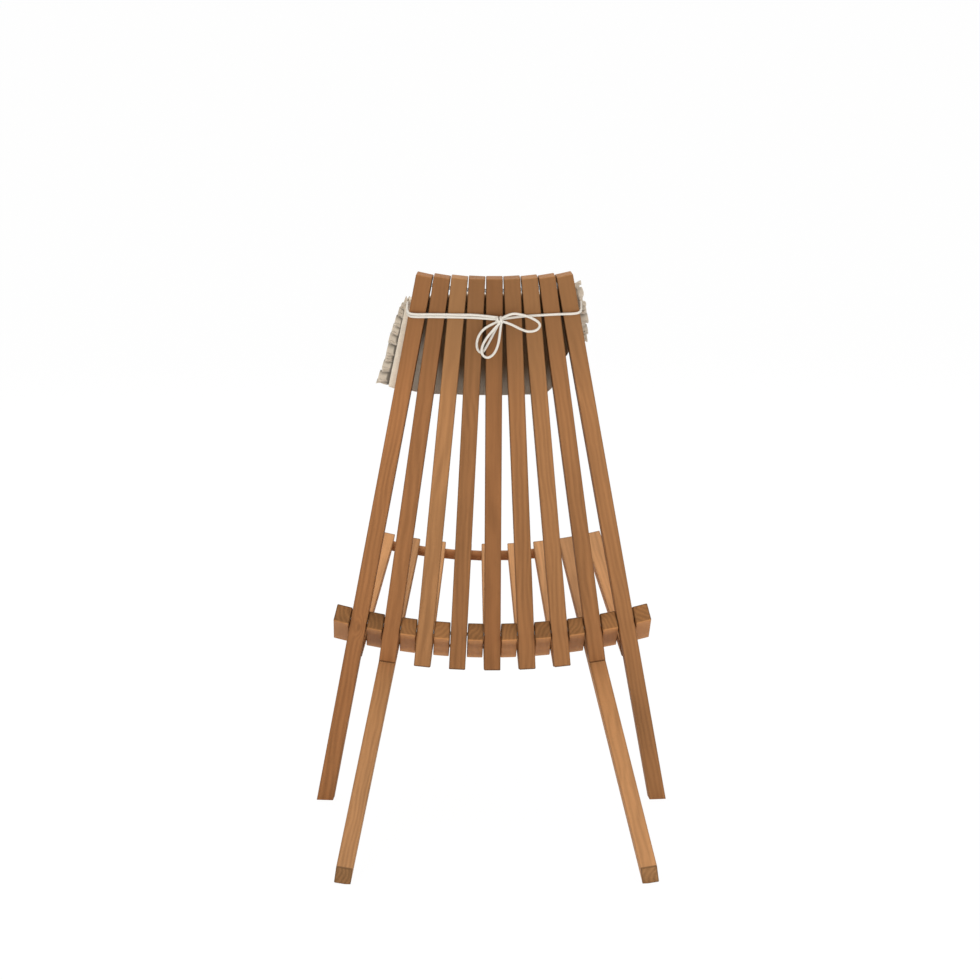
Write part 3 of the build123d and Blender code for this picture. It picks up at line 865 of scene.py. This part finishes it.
class STICKCHAIR_OT_pillow(bpy.types.Operator):
    """Make the linen pillow and its two ruffles"""

    bl_idname = "stick_chair.pillow"
    bl_label = "Pillow"

    def execute(self, context):
        self.make_pillow(context, linen_cloth("natural_linen"))
        gathered = linen_cloth("shaded_gathered_linen", True)
        for side, name in ((-1, "ruffle_left"), (1, "ruffle_right")):
            self.make_ruffle(context, gathered, side, name)
        return {"FINISHED"}

    def make_pillow(self, context, linen):
        shape = bmesh.new()
        shape.from_mesh(frame["nodes"]["pillow"].data)
        bmesh.ops.remove_doubles(shape, verts=shape.verts, dist=1e-5)
        piece = make_piece("linen_pillow", shape)
        remesh = piece.modifiers.new("fine", "REMESH")
        remesh.mode = "VOXEL"
        remesh.voxel_size = VOXEL
        settle(piece)
        self.draw_in(piece)
        self.puff(context, piece)
        round_off = piece.modifiers.new("round", "SUBSURF")
        round_off.levels = 1
        round_off.render_levels = 1
        settle(piece)
        self.gather_ends(piece)
        self.shade_rear(piece)
        smooth(piece)
        cover(piece, linen)
        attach(piece, "back")
        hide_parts("pillow")

    def draw_in(self, piece):
        """Start from a slimmer form than the finished pillow, with its left seam further out."""
        for vert in piece.data.vertices:
            angle, up, forward = lane_values(vert.co)
            angle -= LEFT_SEAM_REACH * ease((-pillow_share(angle) - 0.7) / 0.3) / reach(up, forward)
            slim = max(0.0, forward - PILLOW_REST) * SLIM_SHARE
            vert.co = lane_place(angle, up, PILLOW_REST + SLIM_START + slim)

    def puff(self, context, piece):
        """Blow the pillow up a little, held at its rear and its seams."""
        start = [vert.co.copy() for vert in piece.data.vertices]
        held = piece.vertex_groups.new(name="held")
        for vert in piece.data.vertices:
            angle, up, forward = lane_values(vert.co)
            if forward < PILLOW_REST + HELD_DEPTH or abs(pillow_share(angle)) > HELD_SHARE:
                held.add([vert.index], 1.0, "REPLACE")
        cloth = piece.modifiers.new("cloth", "CLOTH")
        cloth.settings.use_pressure = True
        cloth.settings.uniform_pressure_force = 4.0
        cloth.settings.effector_weights.gravity = 0.0
        cloth.settings.shrink_min = -0.06
        cloth.settings.vertex_group_mass = "held"
        cloth.settings.quality = 6
        cloth.settings.mass = 0.25
        for number in range(1, PUFF_STEPS + 1):
            context.scene.frame_set(number)
        settle(piece)
        context.scene.frame_set(1)
        for vert, before in zip(piece.data.vertices, start):
            move = vert.co - before
            if move.length > PUFF_LIMIT:
                move *= PUFF_LIMIT / move.length
            angle, up, forward = lane_values(before + move)
            vert.co = lane_place(angle, up, max(forward, PILLOW_REST + PILLOW_SKIN))

    def gather_ends(self, piece):
        """Draw the cloth into small pleats beside the ruffles."""
        for vert in piece.data.vertices:
            angle, up, forward = lane_values(vert.co)
            near = min(1.0, max(0.0, 1 - (1 - abs(pillow_share(angle))) / 0.34))
            lift = max(0.0, min(1.0, (forward - PILLOW_REST - 0.004) / 0.012))
            wander = 2.5 * noise.noise(Vector((up * 30, angle * 6, 1.0)))
            pleat = math.sin(up * 2 * math.pi / PLEAT_PITCH + wander)
            forward += PLEAT_HEIGHT * pleat * near ** 1.3 * lift
            forward += CREASE_HEIGHT * self.drawn_crease(angle, up) * lift
            vert.co = lane_place(angle, up, max(forward, PILLOW_REST + PILLOW_SKIN))

    def shade_rear(self, piece):
        """Mark the rear cloth that the sticks shade, most towards the top."""
        shaded = piece.data.attributes.new("shaded", "FLOAT", "POINT")
        for vert in piece.data.vertices:
            angle, up, forward = lane_values(vert.co)
            share = pillow_share(angle)
            behind = 1 - ease((forward - PILLOW_REST - 0.002) / 0.008)
            inner = ease((0.93 - abs(share)) / 0.1)
            height = (up - pillow_middle(angle)) / PILLOW_HEIGHT + 0.5
            lit = ease((-share - 0.45) / 0.3)
            depth = 0.28 * (1 - lit) + (0.66 + 0.2 * lit) * ease((height - 0.04 - 0.38 * lit) / 0.3)
            shaded.data[vert.index].value = behind * inner * depth

    def drawn_crease(self, angle, up):
        """Creases that run out from the middle of the nearer end, from -1 to 1."""
        share = pillow_share(angle)
        inward = max(0.0, 1 - abs(share)) * PILLOW_HALF_LENGTH
        middle = pillow_middle(angle) + (PILLOW_RIGHT_LIFT if share > 0 else 0.0)
        bearing = math.atan2(up - middle, inward + 0.012)
        far = math.hypot(up - middle, inward)
        wander = noise.noise(Vector((bearing * 2.0, far * 18, 5.0 + share)))
        return math.sin(bearing * 9 + 2.2 * wander) * math.exp(-far / 0.065) * min(1.0, far / 0.03)

    def pull_back(self, up, forward, angle):
        """How far the tie cord draws the ruffle back beside the outer stick."""
        near = math.exp(-((up - TIE_UP + level_fall(TIE_UP, 0, angle)) / 0.015) ** 2)
        outside = (abs(angle) - stick_angle(STICKS)) * reach(up, forward) - STICK_WIDTH / 2 - 0.0015
        return TIE_PULL * near * ease(outside / 0.004)

    def make_ruffle(self, context, linen, side, node):
        """A gathered strip along the left end (side -1) or the right end (side 1) of the pillow."""
        settings = context.scene.stick_chair_pillow
        rest = PILLOW_REST + PILLOW_EDGE / 2
        end = pillow_lane(side)
        middle = pillow_middle(end)
        height = PILLOW_HEIGHT * PILLOW_LEFT_SHARE
        depth = settings.ruffle_depth - LEFT_RUFFLE_LESS
        seam = LEFT_SEAM_REACH
        corner = 0.5
        if side > 0:
            middle += PILLOW_RIGHT_LIFT
            height = PILLOW_HEIGHT * PILLOW_RIGHT_SHARE
            depth = settings.ruffle_depth
            seam = 0.0
            corner = 0.0
        tie = TIE_UP - level_fall(TIE_UP, 0, end)
        waves = max(2, round(settings.ruffle_waves * height / PILLOW_HEIGHT))
        shape = bmesh.new()
        bmesh.ops.create_grid(shape, x_segments=waves * 22, y_segments=14, size=0.5)
        fold_shade = shape.verts.layers.float.new("fold_shade")
        for vert in shape.verts:
            share = vert.co.x + 0.5
            out = vert.co.y + 0.5
            crowd = share + 0.35 / waves * noise.noise(Vector((share * waves * 0.7, 4.0, side)))
            turn = 2 * math.pi * waves * crowd
            small = noise.noise(Vector((share * 16, out * 2.0, 3.0 + side)))
            large = noise.noise(Vector((share * 5, 0.0, 7.0 + side)))
            up = middle + height * (share - 0.5) * (1 + 0.06 * out)
            drawn = math.exp(-((up - tie) / 0.021) ** 2) * ease(out / 0.3)
            lean = 0.0042 * math.sin(2 * turn) + 0.003 * small
            up += out * lean * (1 - 0.85 * drawn)
            swing = settings.ruffle_swing * (0.3 + 0.7 * out) * (1 + 0.35 * large) * (1 - 0.7 * drawn)
            forward = rest + swing * (math.sin(turn) + 0.35 * small)
            # Painted shade: the hollows of the gathers and a band along the seam are marked dark, evened out
            # where the tie draws the cloth
            seam_shade = 1 - ease((out - 0.24 - 0.12 * small) / 0.36)
            hollow_shade = max(0.5 + 0.5 * math.sin(turn), 0.95 * seam_shade)
            vert[fold_shade] = hollow_shade + (0.5 - hollow_shade) * drawn
            taper = min(1.0, 0.32 + 2.3 * (1 - share)) if side < 0 else min(1.0, 0.45 + 1.6 * share)
            flare = taper * (1 + corner * (1 - share) ** 3 + 0.16 * large + 0.1 * math.cos(turn))
            spread = side * (seam + depth * out * flare - SEAM_TUCK)
            angle = end + spread / reach(up, forward)
            forward -= self.pull_back(up, forward, angle) * ease(out / 0.3)
            vert.co = lane_place(angle, up, forward)
        bmesh.ops.recalc_face_normals(shape, faces=shape.faces)
        area = sum(face.calc_area() for face in shape.faces)
        piece = make_piece(node + "_frill", shape)
        smooth(piece)
        wall = piece.modifiers.new("cloth thickness", "SOLIDIFY")
        wall.thickness = RUFFLE_CLOTH
        wall.offset = 0.0
        cover(piece, linen)
        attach(piece, "back")
        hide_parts(node)
        width = depth + RUFFLE_HEM
        area / width


class STICKCHAIR_PT_panel(bpy.types.Panel):
    """Lists the pieces and their settings"""

    bl_label = "Stick Chair"
    bl_space_type = "VIEW_3D"
    bl_region_type = "UI"
    bl_category = "Stick Chair"

    def draw(self, context):
        for group in GROUPS:
            box = self.layout.box()
            values = getattr(context.scene, group)
            for key in values.bl_rna.properties.keys():
                if key not in ("rna_type", "name"):
                    box.prop(values, key)
        for operator in OPERATORS:
            self.layout.operator(operator.bl_idname)


GROUPS = {
    "stick_chair_stage": StageSettings,
    "stick_chair_wood": WoodSettings,
    "stick_chair_pillow": PillowSettings,
    "stick_chair_cord": CordSettings,
}
OPERATORS = (
    STICKCHAIR_OT_stage,
    STICKCHAIR_OT_cords,
    STICKCHAIR_OT_sticks,
    STICKCHAIR_OT_fittings,
    STICKCHAIR_OT_pillow,
)


def register():
    for name, group in GROUPS.items():
        bpy.utils.register_class(group)
        setattr(bpy.types.Scene, name, bpy.props.PointerProperty(type=group))
    for operator in OPERATORS:
        bpy.utils.register_class(operator)
    bpy.utils.register_class(STICKCHAIR_PT_panel)


def unregister():
    bpy.utils.unregister_class(STICKCHAIR_PT_panel)
    for operator in reversed(OPERATORS):
        bpy.utils.unregister_class(operator)
    for name, group in GROUPS.items():
        delattr(bpy.types.Scene, name)
        bpy.utils.unregister_class(group)


def main():
    register()
    bpy.ops.stick_chair.stage()
    bpy.ops.stick_chair.cords()
    bpy.ops.stick_chair.sticks()
    bpy.ops.stick_chair.fittings()
    bpy.ops.stick_chair.pillow()


if __name__ == "__main__":
    main()
